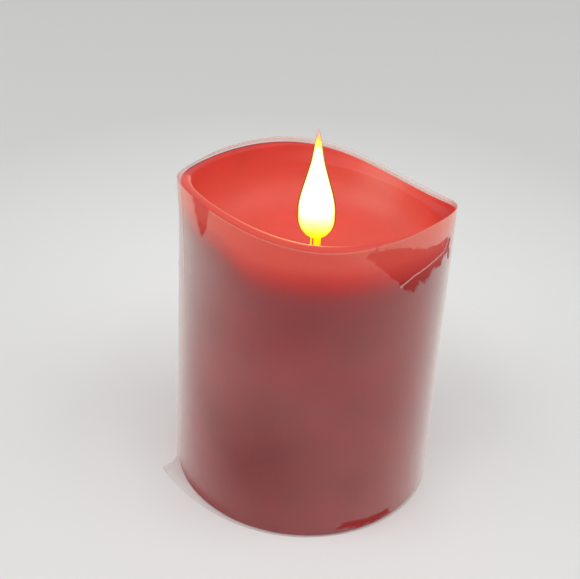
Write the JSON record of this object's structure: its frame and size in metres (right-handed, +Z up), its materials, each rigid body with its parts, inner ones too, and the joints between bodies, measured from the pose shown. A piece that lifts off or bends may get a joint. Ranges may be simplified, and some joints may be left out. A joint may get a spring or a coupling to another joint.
{
  "type": "flameless led candle",
  "caption": "Red wax pillar candle in a clear wrap, with a wavy melted rim, a swinging lit flame vane, battery box, slide switch and hinged battery door.",
  "frame": {"origin": "on the candle's axis, on the surface it stands on", "axes": "+Z up along the candle; -Y is the front, towards the lamp side of the flame; +X to the right seen from the front"},
  "size_m": [0.0804, 0.0758, 0.1109],
  "materials": {
    "wax": "cast red paraffin wax, satin",
    "film": "clear polypropylene film",
    "flame": "translucent moulded flame, lit warm",
    "magnet": "nickel-plated magnet",
    "wire": "drawn steel wire",
    "holder": "red ABS, satin",
    "lamp": "clear epoxy LED",
    "lead_red": "red PVC insulation",
    "lead_black": "black PVC insulation",
    "frame": "black ABS, satin",
    "bobbin": "natural nylon",
    "copper": "enamelled copper wire",
    "board": "solder mask on laminate",
    "chip": "black epoxy",
    "capacitor": "shrink sleeve",
    "screws": "zinc-plated steel",
    "cell": "plain printed steel can",
    "contacts": "nickel-plated spring steel",
    "can": "tin-plated steel can",
    "knob": "black acetal",
    "base": "black ABS, fine grain"
  },
  "bodies": {
    "candle": {"wax_shell": "wax", "wrap_film": "film", "pivot_wire": "wire", "flame_holder": "holder", "flame_lamp": "lamp", "lamp_lead_red": "lead_red", "lamp_lead_black": "lead_black", "core_frame": "frame", "coil_bobbin": "bobbin", "drive_coil": "copper", "coil_lead_left": "copper", "coil_lead_right": "copper", "circuit_board": "board", "control_chip": "chip", "smoothing_capacitor": "capacitor", "coil_transistor": "chip", "chip_resistors": "chip", "board_screws": "screws", "battery_left": "cell", "battery_right": "cell", "positive_contact": "contacts", "negative_contact": "contacts", "bridge_contact": "contacts", "red_battery_lead": "lead_red", "black_battery_lead": "lead_black", "switch_can": "can", "switch_terminals": "board", "switch_screws": "screws", "switch_lead_on": "lead_red", "switch_lead_common": "lead_black", "switch_lead_timer": "lead_black", "base_plate": "base", "base_screws": "screws"},
    "flame": {"flame_vane": "flame", "swing_magnet": "magnet"},
    "switch": {"switch_knob": "knob"},
    "door": {"battery_door": "base"}
  },
  "joints": [
    {"name": "flame_swing", "type": "hinge", "parent": "candle", "child": "flame", "pos_m": [0, 0, 0.064], "axis": [0, 1, 0], "range_deg": [-12, 12]},
    {"name": "switch_slide", "type": "slide", "parent": "candle", "child": "switch", "axis": [1, 0, 0], "range_m": [0, 0.004]},
    {"name": "door_hinge", "type": "hinge", "parent": "candle", "child": "door", "pos_m": [-0.0281, 0, 0.0018], "axis": [0, 1, 0], "range_deg": [0, 90]}
  ]
}
